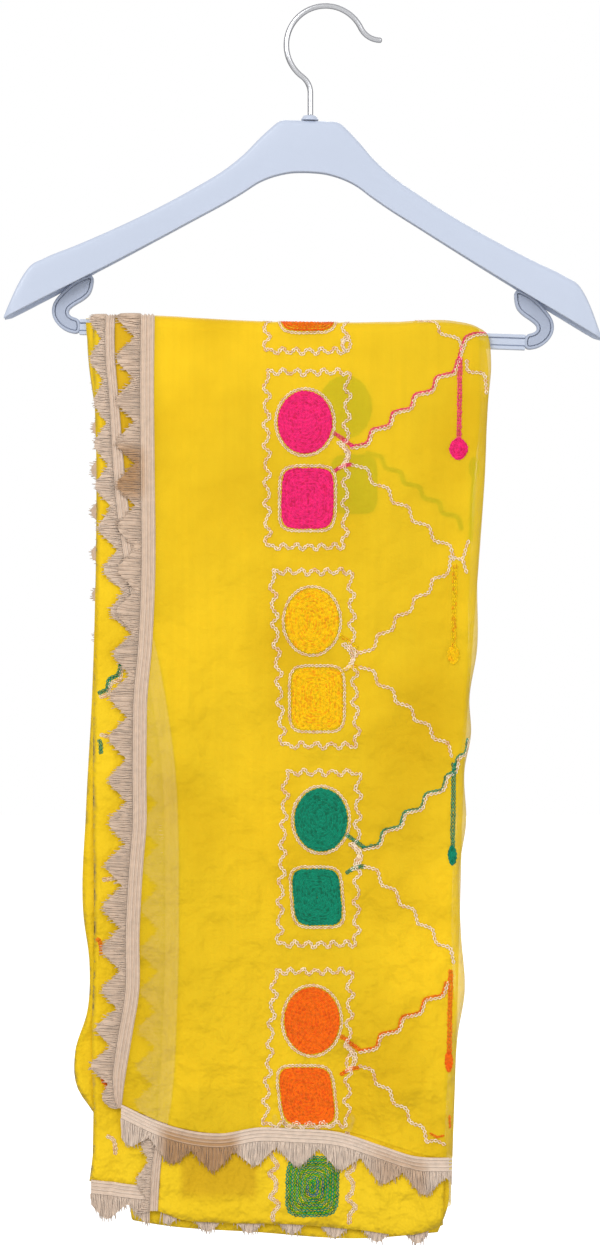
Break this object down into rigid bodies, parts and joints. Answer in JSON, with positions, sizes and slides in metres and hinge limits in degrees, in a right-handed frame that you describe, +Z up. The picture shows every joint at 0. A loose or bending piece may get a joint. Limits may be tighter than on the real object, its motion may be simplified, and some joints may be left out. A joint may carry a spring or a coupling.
{
  "type": "dupatta stole on a hanger",
  "caption": "Sheer yellow dupatta stole with chain-stitch embroidery and a fringed lace border, folded lengthwise over the trouser bar of a plastic hanger.",
  "frame": {"origin": "inside top of the hook's crook, where a rail holds the hanger", "axes": "+Z up, -Y towards the viewer of the embroidered front, +X to the right seen from the front"},
  "size_m": [0.4298, 0.0304, 0.8912],
  "materials": {
    "yellow_cloth": "sheer matt golden-yellow crepe cloth",
    "lace": "champagne braid with a soft metallic fringe",
    "thread_cream": "cream and pink-gold twisted thread",
    "thread_pink": "bright pink silky thread",
    "thread_amber": "amber silky thread",
    "thread_green": "emerald silky thread",
    "thread_orange": "orange silky thread",
    "hanger_plastic": "satin pale lavender-grey moulded plastic",
    "hook_steel": "bright plated wire"
  },
  "bodies": {
    "root": {"cloth_saddle": "yellow_cloth", "cloth_front": "yellow_cloth", "cloth_second": "yellow_cloth", "cloth_third": "yellow_cloth", "cloth_inner": "yellow_cloth", "cloth_back": "yellow_cloth", "cloth_back_inner": "yellow_cloth", "lace_front_side": "lace", "lace_second_side": "lace", "lace_front_end": "lace", "lace_second_end": "lace", "lace_third_end": "lace", "lace_back_side": "lace", "hook": "hook_steel", "hook_collar": "hanger_plastic", "hanger_arms": "hanger_plastic", "trouser_bar": "hanger_plastic", "bracket_left": "hanger_plastic", "bracket_right": "hanger_plastic"}
  },
  "joints": []
}
